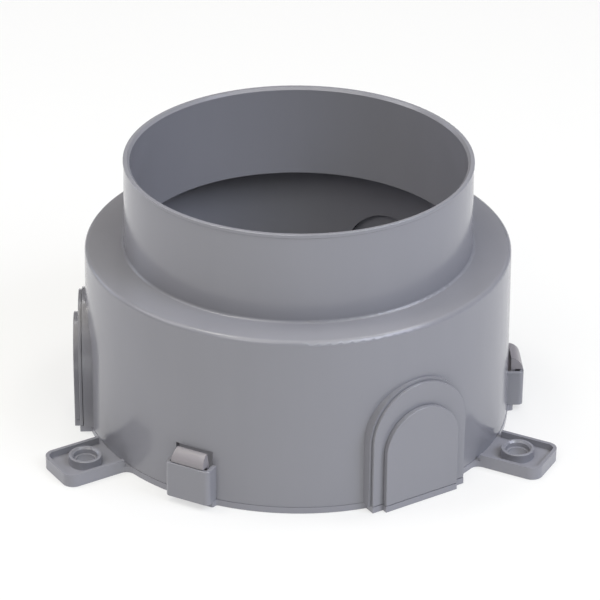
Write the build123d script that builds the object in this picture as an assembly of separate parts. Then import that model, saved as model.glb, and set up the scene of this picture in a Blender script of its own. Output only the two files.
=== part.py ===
"""Round cast-in floor outlet box, moulded in grey plastic.

An upper shell (drum, shoulder and neck) stands on a base plate with three
fixing feet. Three snap hooks on the base plate catch on loops moulded on the
shell, and three stepped conduit entries are closed by a large and a small
knock-out plate each. Millimetres, +Z up, origin at the middle of the underside.
"""
import os
from math import cos, hypot, radians, sin

from build123d import *

# Driving dimensions -----------------------------------------------------------
NECK_OD = 150.0             # rim of the neck
TOTAL_HEIGHT = 120.6
SHOULDER_Z = 80.8           # top of the shoulder
DRUM_OD_BOTTOM = 186.6
DRUM_OD_TOP = 184.3         # the drum narrows upwards for mould release
BASE_OD = 187.0
BASE_THICKNESS = 2.8
FOOT_PCD = 214.0            # circle through the three fixing holes

WALL = 2.6                  # drum wall
SHOULDER_WALL = 2.4
NECK_WALL = 2.8             # at the rim
NECK_DRAFT = 0.7            # how much the neck's outside widens down to the shoulder

ENTRY_ANGLES = (60.0, 180.0, 300.0)
HOOK_ANGLES = (0.0, 120.0, 240.0)
FOOT_ANGLES = (90.0, 210.0, 330.0)

# Rim of the neck
LIP_DEPTH = 0.3
LIP_HEIGHT = 1.7
RIM_CHAMFER_IN = 1.1
RIM_CHAMFER_DOWN = 1.1
SHOULDER_EDGE_RADIUS = 2.0
NECK_ROOT_RADIUS = 1.2
INNER_RADIUS = 1.4
EDGE_BREAK = 0.35
SEAM_CHAMFER = 0.15

# Conduit entries: distances are from the box's axis to each flat face
FRAME_HALF_WIDTH = 24.2
FRAME_TOP = 56.5
FRAME_FACE = 94.0
LARGE_HALF_WIDTH = 23.1
LARGE_TOP = 55.5
LARGE_FACE = 95.6
SMALL_HALF_WIDTH = 18.0
SMALL_TOP = 45.0
SMALL_FACE = 98.0
PLATE_LAP = 0.3             # the small plate laps the edge of the large one's opening
PLATE_GAP = 0.3             # break line between a plate and the face behind it
PLATE_EDGE_RADIUS = 0.3
PLATE_FOOT_GAP = 0.2        # between the plates and the base plate
NICHE_HALF_WIDTH = 20.2     # opening in the drum wall behind the plates
NICHE_TOP = 52.9
NICHE_FLOOR = 92.6          # inner face of the large plate's plug
PLUG_GAP = 0.15             # around the plug

# Hook loops on the shell
LOOP_FACE = 99.7
LOOP_HALF_WIDTH = 10.4
LOOP_WALL = 1.6
LOOP_BOTTOM = 2.9
LOOP_TOP = 19.1
LOOP_CORNER_RADIUS = 2.2
WINDOW_HALF_WIDTH = 8.7
WINDOW_BOTTOM = 6.5
WINDOW_TOP = 25.2

# Snap hooks
HOOK_HALF_WIDTH = 7.8
HOOK_BACK = 94.15           # inner face of the arm
HOOK_ARM = 1.7              # thickness of the arm
HOOK_PIVOT_Z = 4.0          # the arm bends here, just above the base plate
HOOK_NOSE = 99.1            # outermost edge of the head
HOOK_CATCH_Z = 19.5         # underside of the head
HOOK_NOSE_HEIGHT = 1.3
HOOK_TOP_FACE = 94.9
HOOK_TOP_Z = 24.6
HOOK_END_BEVEL = 0.8
HOOK_SLOPE_BULGE = 0.45     # the lead-in slope is slightly rounded
HOOK_CORNER_CUT = 0.5       # across the nose's upright corners

# Base plate
HOOK_TAB_FACE = 95.4
HOOK_TAB_HALF_WIDTH = 10.4
HOOK_TAB_RADIUS = 1.1       # of the tab's corners and of the coves beside it
LOCATING_RIM_HEIGHT = 4.0
LOCATING_RIM_WALL = 1.6
LOCATING_RIM_GAP = 0.4

# Fixing feet
FOOT_HALF_WIDTH = 12.0
FOOT_END = 121.8            # from the box's axis to the foot's end
FOOT_CORNER_RADIUS = 5.0
FOOT_FLANK_RADIUS = 4.0
FOOT_RIB_WALL = 1.6
FOOT_RIB_TOP = 5.7
FOOT_RIB_START = 94.6
EYE_RADIUS = 7.2
EYE_TOP = 6.7
EYE_BORE_RADIUS = 5.2
EYE_BORE_DEPTH = 2.6
EYE_CHAMFER = 0.8
FIXING_HOLE_RADIUS = 4.1

# Worked out -------------------------------------------------------------------
RIM_RADIUS = NECK_OD / 2
NECK_RADIUS = RIM_RADIUS - LIP_DEPTH
NECK_BORE_RADIUS = RIM_RADIUS - NECK_WALL
SHELL_BOTTOM = BASE_THICKNESS
BASE_RADIUS = BASE_OD / 2
FOOT_RADIUS = FOOT_PCD / 2
ENTRY_FLOOR = SHELL_BOTTOM + PLATE_FOOT_GAP
FAR = 140.0                 # beyond everything, for cutting tools
CLEAR = 1.0                 # how far a cutting tool passes what it cuts
ROOT_RADIUS = DRUM_OD_TOP / 2 - 30      # features and cuts start here, inside the wall


def drum_radius(z):
    """Outer radius of the drum at height z."""
    share = (z - SHELL_BOTTOM) / (SHOULDER_Z - SHELL_BOTTOM)
    return (DRUM_OD_BOTTOM + (DRUM_OD_TOP - DRUM_OD_BOTTOM) * share) / 2


def turned(shape, angle):
    """A feature drawn out along +X, turned to its angle about the axis."""
    return Rot(0, 0, angle) * shape


def rounded(face, corners):
    """Round the corners of a flat outline: each entry is x, y, radius."""
    for x, y, radius in corners:
        vertex = min(face.vertices(), key=lambda v: hypot(v.X - x, v.Y - y))
        face = fillet(vertex, radius)
    return face


def revolved(face):
    """An outline of radius and height, turned about the Z axis."""
    return revolve(Plane.XZ * face, axis=Axis.Z)


def slab(x0, x1, half_width, z0, z1):
    """A block between two radial distances, centred across the X axis."""
    centre = Pos((x0 + x1) / 2, 0, (z0 + z1) / 2)
    return centre * Box(x1 - x0, 2 * half_width, z1 - z0)


def arch(half_width, top, bottom, x0, x1):
    """A flat round-topped plate that faces along +X."""
    spring = top - half_width
    outline = Pos(0, (spring + bottom) / 2) * Rectangle(2 * half_width, spring - bottom)
    outline += Pos(0, spring) * Circle(half_width)
    return extrude(Plane.YZ.offset(x0) * outline, x1 - x0)


def solid_of_revolution():
    """Drum, shoulder and neck, before their entries and loops."""
    bottom_in = drum_radius(SHELL_BOTTOM) - WALL
    top_out = drum_radius(SHOULDER_Z)
    top_in = top_out - WALL
    underside = SHOULDER_Z - SHOULDER_WALL
    lip_z = TOTAL_HEIGHT - LIP_HEIGHT
    points = [
        (bottom_in, SHELL_BOTTOM),
        (drum_radius(SHELL_BOTTOM) - SEAM_CHAMFER, SHELL_BOTTOM),
        (drum_radius(SHELL_BOTTOM), SHELL_BOTTOM + SEAM_CHAMFER),
        (top_out, SHOULDER_Z),
        (NECK_RADIUS + NECK_DRAFT, SHOULDER_Z),
        (NECK_RADIUS, lip_z),
        (RIM_RADIUS, lip_z + LIP_DEPTH),
        (RIM_RADIUS, TOTAL_HEIGHT),
        (NECK_BORE_RADIUS + RIM_CHAMFER_IN, TOTAL_HEIGHT),
        (NECK_BORE_RADIUS, TOTAL_HEIGHT - RIM_CHAMFER_DOWN),
        (NECK_BORE_RADIUS, underside),
        (top_in, underside),
    ]
    corners = [
        (top_out, SHOULDER_Z, SHOULDER_EDGE_RADIUS),
        (NECK_RADIUS + NECK_DRAFT, SHOULDER_Z, NECK_ROOT_RADIUS),
        (RIM_RADIUS, TOTAL_HEIGHT, EDGE_BREAK),
        (NECK_BORE_RADIUS, underside, EDGE_BREAK),
        (top_in, underside, INNER_RADIUS),
    ]
    return revolved(rounded(make_face(Polyline(points, close=True)), corners))


def inside_of_drum():
    """The drum's hollow as a solid, for trimming what is added outside it."""
    underside = SHOULDER_Z - SHOULDER_WALL
    points = [
        (0, SHELL_BOTTOM),
        (drum_radius(SHELL_BOTTOM) - WALL, SHELL_BOTTOM),
        (drum_radius(SHOULDER_Z) - WALL, underside),
        (0, underside),
    ]
    return revolved(make_face(Polyline(points, close=True)))


def entry_frame():
    """Flat-faced boss that carries a conduit entry."""
    return arch(FRAME_HALF_WIDTH, FRAME_TOP, SHELL_BOTTOM, ROOT_RADIUS, FRAME_FACE)


def entry_niche():
    """Opening through the drum wall and the boss."""
    return arch(NICHE_HALF_WIDTH, NICHE_TOP, -CLEAR, ROOT_RADIUS, FAR)


def hook_loop():
    """Three-sided loop outside the drum wall that a snap hook passes through."""
    block = slab(ROOT_RADIUS, LOOP_FACE, LOOP_HALF_WIDTH, LOOP_BOTTOM, LOOP_TOP)
    corners = block.edges().filter_by(Axis.Z).group_by(Axis.X)[-1]
    block = fillet(corners, LOOP_CORNER_RADIUS)
    block = fillet(block.faces().sort_by(Axis.Z)[-1].edges(), EDGE_BREAK)
    return block - slab(ROOT_RADIUS - CLEAR, LOOP_FACE - LOOP_WALL,
                        LOOP_HALF_WIDTH - LOOP_WALL, LOOP_BOTTOM - CLEAR, LOOP_TOP + CLEAR)


def hook_window():
    """Opening in the drum wall that the hook bends into."""
    outer = drum_radius(SHELL_BOTTOM) + CLEAR
    return slab(ROOT_RADIUS, outer, WINDOW_HALF_WIDTH, WINDOW_BOTTOM, WINDOW_TOP)


def make_upper_shell():
    """Drum with shoulder and neck, its entries and hook loops."""
    shell = solid_of_revolution()
    hollow = inside_of_drum()
    for angle in ENTRY_ANGLES:
        shell += turned(entry_frame(), angle) - hollow
    for angle in HOOK_ANGLES:
        shell += turned(hook_loop(), angle) - hollow
    for angle in ENTRY_ANGLES:
        shell -= turned(entry_niche(), angle)
    for angle in HOOK_ANGLES:
        shell -= turned(hook_window(), angle)
    return shell


def make_large_knockout():
    """Large plate of a conduit entry and its plug, with the small one's opening in it."""
    back = FRAME_FACE + PLATE_GAP
    plate = arch(LARGE_HALF_WIDTH, LARGE_TOP, ENTRY_FLOOR, back, LARGE_FACE)
    plate = fillet(plate.faces().sort_by(Axis.X)[-1].edges(), PLATE_EDGE_RADIUS)
    plate += arch(NICHE_HALF_WIDTH - PLUG_GAP, NICHE_TOP - PLUG_GAP, ENTRY_FLOOR,
                  NICHE_FLOOR, back)
    opening = arch(SMALL_HALF_WIDTH - PLATE_LAP, SMALL_TOP - PLATE_LAP, -CLEAR,
                   NICHE_FLOOR - CLEAR, LARGE_FACE + CLEAR)
    return plate - opening


def make_small_knockout():
    """Small plate of a conduit entry, lapping over the large one's opening."""
    back = LARGE_FACE + PLATE_GAP
    plate = arch(SMALL_HALF_WIDTH, SMALL_TOP, ENTRY_FLOOR, back, SMALL_FACE)
    return fillet(plate.faces().sort_by(Axis.X)[-1].edges(), PLATE_EDGE_RADIUS)


def make_snap_hook():
    """Sprung arm with a wedge-shaped head, rounded where it bends."""
    arm_face = HOOK_BACK + HOOK_ARM
    nose_top = HOOK_CATCH_Z + HOOK_NOSE_HEIGHT
    middle = ((HOOK_NOSE + HOOK_TOP_FACE) / 2 + HOOK_SLOPE_BULGE,
              (nose_top + HOOK_TOP_Z) / 2 + HOOK_SLOPE_BULGE)
    slope = ThreePointArc((HOOK_NOSE, nose_top), middle, (HOOK_TOP_FACE, HOOK_TOP_Z))
    rest = Polyline([
        (HOOK_TOP_FACE, HOOK_TOP_Z),
        (HOOK_BACK, HOOK_TOP_Z),
        (HOOK_BACK, HOOK_PIVOT_Z),
        (arm_face, HOOK_PIVOT_Z),
        (arm_face, HOOK_CATCH_Z),
        (HOOK_NOSE, HOOK_CATCH_Z),
        (HOOK_NOSE, nose_top),
    ])
    outline = rounded(make_face([slope, *rest.edges()]), [(arm_face, HOOK_CATCH_Z, EDGE_BREAK)])
    outline += Pos(HOOK_BACK + HOOK_ARM / 2, HOOK_PIVOT_Z) * Circle(HOOK_ARM / 2)
    hook = extrude(Plane.XZ * outline, HOOK_HALF_WIDTH, both=True)
    return hook - head_end_bevels() - nose_corner_cuts()


def head_end_bevels():
    """Wedges that slope the two ends of a hook's head inwards towards its top."""
    above = HOOK_TOP_Z + (HOOK_TOP_Z - HOOK_CATCH_Z)
    lean = Polyline([
        (HOOK_HALF_WIDTH, HOOK_CATCH_Z),
        (HOOK_HALF_WIDTH + CLEAR, HOOK_CATCH_Z),
        (HOOK_HALF_WIDTH + CLEAR, above),
        (HOOK_HALF_WIDTH - 2 * HOOK_END_BEVEL, above),
    ], close=True)
    wedge = extrude(Plane.YZ.offset(HOOK_BACK - CLEAR) * make_face(lean), FAR - HOOK_BACK)
    return wedge + mirror(wedge, Plane.XZ)


def nose_corner_cuts():
    """Prisms that take off the upright corners of a hook's nose."""
    corner = Polyline([
        (HOOK_NOSE - HOOK_CORNER_CUT, HOOK_HALF_WIDTH + CLEAR),
        (HOOK_NOSE - HOOK_CORNER_CUT, HOOK_HALF_WIDTH),
        (HOOK_NOSE, HOOK_HALF_WIDTH - HOOK_CORNER_CUT),
        (HOOK_NOSE + CLEAR, HOOK_HALF_WIDTH - HOOK_CORNER_CUT),
        (HOOK_NOSE + CLEAR, HOOK_HALF_WIDTH + CLEAR),
    ], close=True)
    prism = Pos(0, 0, HOOK_CATCH_Z) * extrude(make_face(corner), HOOK_TOP_Z)
    return prism + mirror(prism, Plane.XZ)


def foot_outline():
    """Plan of a fixing foot, from inside the base plate to its rounded end."""
    length = FOOT_END - ROOT_RADIUS
    plan = Pos(ROOT_RADIUS + length / 2, 0) * Rectangle(length, 2 * FOOT_HALF_WIDTH)
    ends = [(FOOT_END, side * FOOT_HALF_WIDTH, FOOT_CORNER_RADIUS) for side in (-1, 1)]
    return rounded(plan, ends)


def turned_corners(angles, reach, half_width, radius):
    """The two corners of a feature at each of its angles, as entries for rounded()."""
    corners = []
    for angle in angles:
        turn = radians(angle)
        for side in (-half_width, half_width):
            x = reach * cos(turn) - side * sin(turn)
            y = reach * sin(turn) + side * cos(turn)
            corners.append((x, y, radius))
    return corners


def plate_outline():
    """Plan of the base plate with its tabs and feet."""
    plan = Circle(BASE_RADIUS)
    for angle in ENTRY_ANGLES:
        for face, half_width in ((LARGE_FACE, LARGE_HALF_WIDTH), (SMALL_FACE, SMALL_HALF_WIDTH)):
            plan += turned(Pos(face / 2, 0) * Rectangle(face, 2 * half_width), angle)
    for angle in HOOK_ANGLES:
        tab = Pos(HOOK_TAB_FACE / 2, 0) * Rectangle(HOOK_TAB_FACE, 2 * HOOK_TAB_HALF_WIDTH)
        plan += turned(tab, angle)
    for angle in FOOT_ANGLES:
        plan += turned(foot_outline(), angle)
    foot_flank = (BASE_RADIUS ** 2 - FOOT_HALF_WIDTH ** 2) ** 0.5
    tab_flank = (BASE_RADIUS ** 2 - HOOK_TAB_HALF_WIDTH ** 2) ** 0.5
    corners = turned_corners(FOOT_ANGLES, foot_flank, FOOT_HALF_WIDTH, FOOT_FLANK_RADIUS)
    corners += turned_corners(HOOK_ANGLES, tab_flank, HOOK_TAB_HALF_WIDTH, HOOK_TAB_RADIUS)
    corners += turned_corners(HOOK_ANGLES, HOOK_TAB_FACE, HOOK_TAB_HALF_WIDTH, HOOK_TAB_RADIUS)
    return rounded(plan, corners)


def foot_rib():
    """Rib around a foot's edge, open towards the drum."""
    plan = foot_outline()
    plan -= offset(plan, -FOOT_RIB_WALL)
    plan -= Pos(FOOT_RIB_START / 2, 0) * Rectangle(FOOT_RIB_START, 4 * FOOT_HALF_WIDTH)
    return extrude(plan, FOOT_RIB_TOP)


def foot_eye():
    """Raised eye around a fixing hole."""
    eye = Pos(FOOT_RADIUS, 0) * extrude(Circle(EYE_RADIUS), EYE_TOP)
    return fillet(eye.faces().sort_by(Axis.Z)[-1].edges(), EDGE_BREAK)


def foot_hole():
    """Stepped hole for a fixing screw or nail, with a sloped lead-in at its top."""
    bore = Pos(FOOT_RADIUS, 0, EYE_TOP - EYE_BORE_DEPTH) * extrude(Circle(EYE_BORE_RADIUS), EYE_TOP)
    hole = Pos(FOOT_RADIUS, 0, -CLEAR) * extrude(Circle(FIXING_HOLE_RADIUS), EYE_TOP)
    lead_in = Cone(EYE_BORE_RADIUS, EYE_BORE_RADIUS + EYE_CHAMFER, EYE_CHAMFER)
    return bore + hole + Pos(FOOT_RADIUS, 0, EYE_TOP - EYE_CHAMFER / 2) * lead_in


def locating_rim():
    """Low rim inside the drum wall, broken at the entries and hook windows."""
    outer = drum_radius(SHELL_BOTTOM) - WALL - LOCATING_RIM_GAP
    ring = Circle(outer) - Circle(outer - LOCATING_RIM_WALL)
    for angle in ENTRY_ANGLES:
        ring -= turned(Pos(FAR / 2, 0) * Rectangle(FAR, 2 * FRAME_HALF_WIDTH), angle)
    for angle in HOOK_ANGLES:
        ring -= turned(Pos(FAR / 2, 0) * Rectangle(FAR, 2 * LOOP_HALF_WIDTH), angle)
    return Pos(0, 0, BASE_THICKNESS) * extrude(ring, LOCATING_RIM_HEIGHT)


def make_base_plate():
    """Closed base plate with tabs, locating rim and three fixing feet."""
    plate = extrude(plate_outline(), BASE_THICKNESS)
    plate += locating_rim()
    for angle in FOOT_ANGLES:
        plate += turned(foot_rib() + foot_eye(), angle)
    for angle in FOOT_ANGLES:
        plate -= turned(foot_hole(), angle)
    return plate


def write(shape, node):
    """Write one sub-part as a STEP file."""
    export_step(shape, f"parts/{node}.step")


def main():
    """Build every sub-part and write it where it lies."""
    os.makedirs("parts", exist_ok=True)
    write(make_upper_shell(), "upper_shell")
    write(make_base_plate(), "base_plate")
    for number, angle in enumerate(HOOK_ANGLES, 1):
        write(turned(make_snap_hook(), angle), f"snap_hook_{number}")
    for number, angle in enumerate(ENTRY_ANGLES, 1):
        write(turned(make_large_knockout(), angle), f"knockout_large_{number}")
        write(turned(make_small_knockout(), angle), f"knockout_small_{number}")


main()
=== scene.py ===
"""Studio view of the round floor outlet box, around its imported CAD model. Metres, +Z up."""
from math import cos, radians, sin

import bpy
from mathutils import Euler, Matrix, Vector

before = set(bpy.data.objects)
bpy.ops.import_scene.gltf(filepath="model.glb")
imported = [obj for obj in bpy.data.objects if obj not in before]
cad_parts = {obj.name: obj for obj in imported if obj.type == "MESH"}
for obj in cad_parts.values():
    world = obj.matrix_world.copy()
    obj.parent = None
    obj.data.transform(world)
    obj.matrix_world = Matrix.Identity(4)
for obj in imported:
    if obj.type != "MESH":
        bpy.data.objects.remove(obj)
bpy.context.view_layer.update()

# Camera ----------------------------------------------------------------------
CAMERA_YAW = -2.7            # degrees; negative stands to the left of straight ahead
CAMERA_PITCH = 27.95         # degrees above the horizon
CAMERA_ROLL = 0.5            # degrees
CAMERA_DISTANCE = 1.311
CAMERA_LENS = 180.0          # mm
SENSOR_WIDTH = 36.0          # mm
CLIP_END = 20
AIM_SIDE = 0.00103           # the aim point's offset to the camera's right
AIM_HEIGHT = 0.05135

# Light -----------------------------------------------------------------------
ROOM_TINT = (0.97, 0.98, 1.0, 1)
ROOM_GLOW = 0.01             # nearly dark: the light comes from the softboxes and the floor
LIGHT_AIM_HEIGHT = 0.06
SOFTBOX_DISTANCE = 1.7
SOFTBOX_SIZE = 0.8
CANOPY_SIZE = 1.8            # wide, so that it leaves no hard glint on the entries' arches
SPOT_SIZE = 0.35             # small enough to leave crisp glints on the rims

# Floor -----------------------------------------------------------------------
FLOOR_SIZE = 8
FLOOR_DROP = 0.0002          # keeps the floor clear of the box's underside
FLOOR_COLOUR = (0.32, 0.32, 0.32, 1)
FLOOR_ROUGHNESS = 0.9
FLOOR_SPECULAR = 0.1
FLOOR_GLOW = 0.61            # the floor is lit from within, which keeps its shadows faint
WHITE = (1, 1, 1)

# Plastic ---------------------------------------------------------------------
SHELL_GREY = (0.262, 0.262, 0.291)
BASE_GREY = (0.274, 0.274, 0.308)
HOOK_GREY = (0.292, 0.273, 0.292)
SATIN = 0.19                 # roughness of the shell and base
HOOK_SATIN = 0.34
SATIN_SPREAD = 0.035         # how far the roughness wanders either way
PLASTIC_IOR = 1.5

# Surface detail: scales are roughly cycles per metre, in one number or along X, Y and Z
NOISE_LOW, NOISE_HIGH = 0.3, 0.7        # the noise seldom leaves this range
CLOUDING_SCALE = 14
CLOUDING_DEPTH = 0.014       # share of the colour, either way
FLOW_SCALE = (90, 90, 9)     # drawn out up the walls
FLOW_LOW, FLOW_HIGH = 0.990, 1.010
SHEEN_SCALE = 45
SCUFF_SCALE = (700, 500, 60)
SCUFF_ROUGHNESS = 0.06
SCUFF_START, SCUFF_FULL = 0.70, 0.84    # only the peaks of the noise leave a scuff
GRAIN_SCALE = 2600
GRAIN_STRENGTH = 0.10
GRAIN_DISTANCE = 0.00006
WAVE_SCALE = 22
WAVE_STRENGTH = 0.25
WAVE_DISTANCE = 0.0004


def socket(node, name, value):
    """Set one input of a node."""
    node.inputs[name].default_value = value


def noise(tree, coordinates, scale, detail):
    """A noise texture at the given coordinates."""
    node = tree.nodes.new("ShaderNodeTexNoise")
    socket(node, "Scale", scale)
    socket(node, "Detail", detail)
    tree.links.new(coordinates, node.inputs["Vector"])
    return node.outputs["Fac"]


def span(tree, value, low, high, from_low=NOISE_LOW, from_high=NOISE_HIGH):
    """Bring a value's usual spread to a range."""
    node = tree.nodes.new("ShaderNodeMapRange")
    socket(node, "From Min", from_low)
    socket(node, "From Max", from_high)
    socket(node, "To Min", low)
    socket(node, "To Max", high)
    tree.links.new(value, node.inputs["Value"])
    return node.outputs["Result"]


def scaled(tree, coordinates, scale):
    """Coordinates scaled along X, Y and Z; a small Z draws marks out up the walls."""
    node = tree.nodes.new("ShaderNodeMapping")
    socket(node, "Scale", scale)
    tree.links.new(coordinates, node.inputs["Vector"])
    return node.outputs["Vector"]


def sum_of(tree, first, second):
    """Two values added."""
    node = tree.nodes.new("ShaderNodeMath")
    tree.links.new(first, node.inputs[0])
    tree.links.new(second, node.inputs[1])
    return node.outputs[0]


def toned(tree, colour, factor):
    """A colour made lighter or darker by a factor that varies over the surface."""
    node = tree.nodes.new("ShaderNodeVectorMath")
    node.operation = "SCALE"
    node.inputs[0].default_value = colour
    tree.links.new(factor, node.inputs["Scale"])
    return node.outputs["Vector"]


def bump(tree, height, strength, distance):
    """A bump node driven by a height."""
    node = tree.nodes.new("ShaderNodeBump")
    socket(node, "Strength", strength)
    socket(node, "Distance", distance)
    tree.links.new(height, node.inputs["Height"])
    return node


def moulded_plastic(name, colour, roughness=SATIN):
    """Satin moulded plastic: faint clouding, flow marks, fine grain and handling scuffs."""
    material = bpy.data.materials.new(name)
    material.use_nodes = True
    tree = material.node_tree
    shader = tree.nodes["Principled BSDF"]
    place = tree.nodes.new("ShaderNodeTexCoord").outputs["Object"]

    clouds = noise(tree, place, CLOUDING_SCALE, detail=3)
    clouding = span(tree, clouds, -CLOUDING_DEPTH, CLOUDING_DEPTH)
    streaks = noise(tree, scaled(tree, place, FLOW_SCALE), scale=1, detail=4)
    flow = span(tree, streaks, FLOW_LOW, FLOW_HIGH)
    tone = toned(tree, colour, sum_of(tree, clouding, flow))
    tree.links.new(tone, shader.inputs["Base Color"])

    patches = noise(tree, place, SHEEN_SCALE, detail=4)
    sheen = span(tree, patches, roughness - SATIN_SPREAD, roughness + SATIN_SPREAD)
    scratches = noise(tree, scaled(tree, place, SCUFF_SCALE), scale=1, detail=2)
    scuffs = span(tree, scratches, 0, SCUFF_ROUGHNESS, SCUFF_START, SCUFF_FULL)
    tree.links.new(sum_of(tree, sheen, scuffs), shader.inputs["Roughness"])

    pebbles = noise(tree, place, GRAIN_SCALE, detail=2)
    grain = bump(tree, pebbles, GRAIN_STRENGTH, GRAIN_DISTANCE)
    ripples = noise(tree, place, WAVE_SCALE, detail=1)
    waviness = bump(tree, ripples, WAVE_STRENGTH, WAVE_DISTANCE)
    tree.links.new(grain.outputs["Normal"], waviness.inputs["Normal"])
    tree.links.new(waviness.outputs["Normal"], shader.inputs["Normal"])
    socket(shader, "IOR", PLASTIC_IOR)
    return material


def dress_nodes():
    """Give every CAD node its plastic."""
    shell = moulded_plastic("shell_plastic", SHELL_GREY)
    base = moulded_plastic("base_plastic", BASE_GREY)
    hook = moulded_plastic("hook_plastic", HOOK_GREY, HOOK_SATIN)
    for name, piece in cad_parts.items():
        material = shell
        if name.startswith("base"):
            material = base
        if name.startswith("snap_hook"):
            material = hook
        for slot in piece.material_slots:
            slot.material = material


def floor():
    """Plain pale floor, wide enough to fill the view."""
    bpy.ops.mesh.primitive_plane_add(size=FLOOR_SIZE, location=(0, 0, -FLOOR_DROP))
    plane = bpy.context.object
    plane.name = "floor"
    material = bpy.data.materials.new("floor_white")
    material.use_nodes = True
    shader = material.node_tree.nodes["Principled BSDF"]
    socket(shader, "Base Color", FLOOR_COLOUR)
    socket(shader, "Roughness", FLOOR_ROUGHNESS)
    socket(shader, "Specular IOR Level", FLOOR_SPECULAR)
    socket(shader, "Emission Color", (*WHITE, 1))
    socket(shader, "Emission Strength", FLOOR_GLOW)
    plane.data.materials.append(material)


def softbox(name, azimuth, height, power, tint=WHITE, size=SOFTBOX_SIZE):
    """A square area light aimed at the box.

    azimuth and height are in degrees, from straight ahead (positive to the right)
    and above the horizon; power is in watts.
    """
    aim = Vector((0, 0, LIGHT_AIM_HEIGHT))
    turn = radians(azimuth)
    across = SOFTBOX_DISTANCE * cos(radians(height))
    up = SOFTBOX_DISTANCE * sin(radians(height))
    place = aim + Vector((sin(turn) * across, -cos(turn) * across, up))
    light = bpy.data.lights.new(name, "AREA")
    light.size = size
    light.energy = power
    light.color = tint
    lamp = bpy.data.objects.new(name, light)
    lamp.location = place
    lamp.rotation_euler = (aim - place).to_track_quat("-Z", "Y").to_euler()
    bpy.context.scene.collection.objects.link(lamp)


def studio():
    """A warm canopy, a cool key from the right, softer fills and small high lights."""
    world = bpy.data.worlds.new("surroundings")
    bpy.context.scene.world = world
    world.use_nodes = True
    backdrop = world.node_tree.nodes["Background"]
    socket(backdrop, "Color", ROOM_TINT)
    socket(backdrop, "Strength", ROOM_GLOW)
    # The six larger lights began as a least-squares fit of trial lamps to the tones of the
    # studio shot. They were rounded, and most of their powers were then tuned. The three of
    # SPOT_SIZE were placed for the glints on the rims.
    softbox("canopy", azimuth=0, height=89, power=15.0, tint=(1.0, 0.95, 0.80), size=CANOPY_SIZE)
    softbox("high_left", azimuth=-106, height=70, power=4.0, tint=(1.0, 0.97, 0.9), size=SPOT_SIZE)
    softbox("high_right", azimuth=111, height=66, power=4.0, tint=(0.97, 0.98, 1.0), size=SPOT_SIZE)
    softbox("key_right", azimuth=60, height=42, power=14.0, tint=(0.78, 0.82, 1.0))
    softbox("front_right", azimuth=30, height=42, power=6.2, tint=(0.92, 1.0, 0.97))
    softbox("front_left", azimuth=-30, height=42, power=7.0, tint=(1.0, 0.97, 0.93))
    softbox("left_side", azimuth=-90, height=42, power=5.4)
    softbox("rear_left", azimuth=-120, height=18, power=4.0, tint=(0.75, 0.82, 1.0))
    softbox("rear_high", azimuth=180, height=60, power=2.2, size=SPOT_SIZE)


def camera():
    """Long lens at the height and angle of the studio shot."""
    data = bpy.data.cameras.new("camera")
    data.lens = CAMERA_LENS
    data.sensor_width = SENSOR_WIDTH
    data.clip_end = CLIP_END
    lens = bpy.data.objects.new("camera", data)
    turn, pitch = radians(CAMERA_YAW), radians(CAMERA_PITCH)
    aim = Vector((cos(turn) * AIM_SIDE, sin(turn) * AIM_SIDE, AIM_HEIGHT))
    back = Vector((sin(turn) * cos(pitch), -cos(turn) * cos(pitch), sin(pitch)))
    lens.location = aim + back * CAMERA_DISTANCE
    level = Euler((radians(90) - pitch, 0, turn)).to_matrix()
    roll = Euler((0, 0, radians(CAMERA_ROLL))).to_matrix()
    lens.rotation_euler = (level @ roll).to_euler()
    bpy.context.scene.collection.objects.link(lens)
    bpy.context.scene.camera = lens


dress_nodes()
floor()
studio()
camera()
bpy.context.scene.view_settings.view_transform = "Standard"
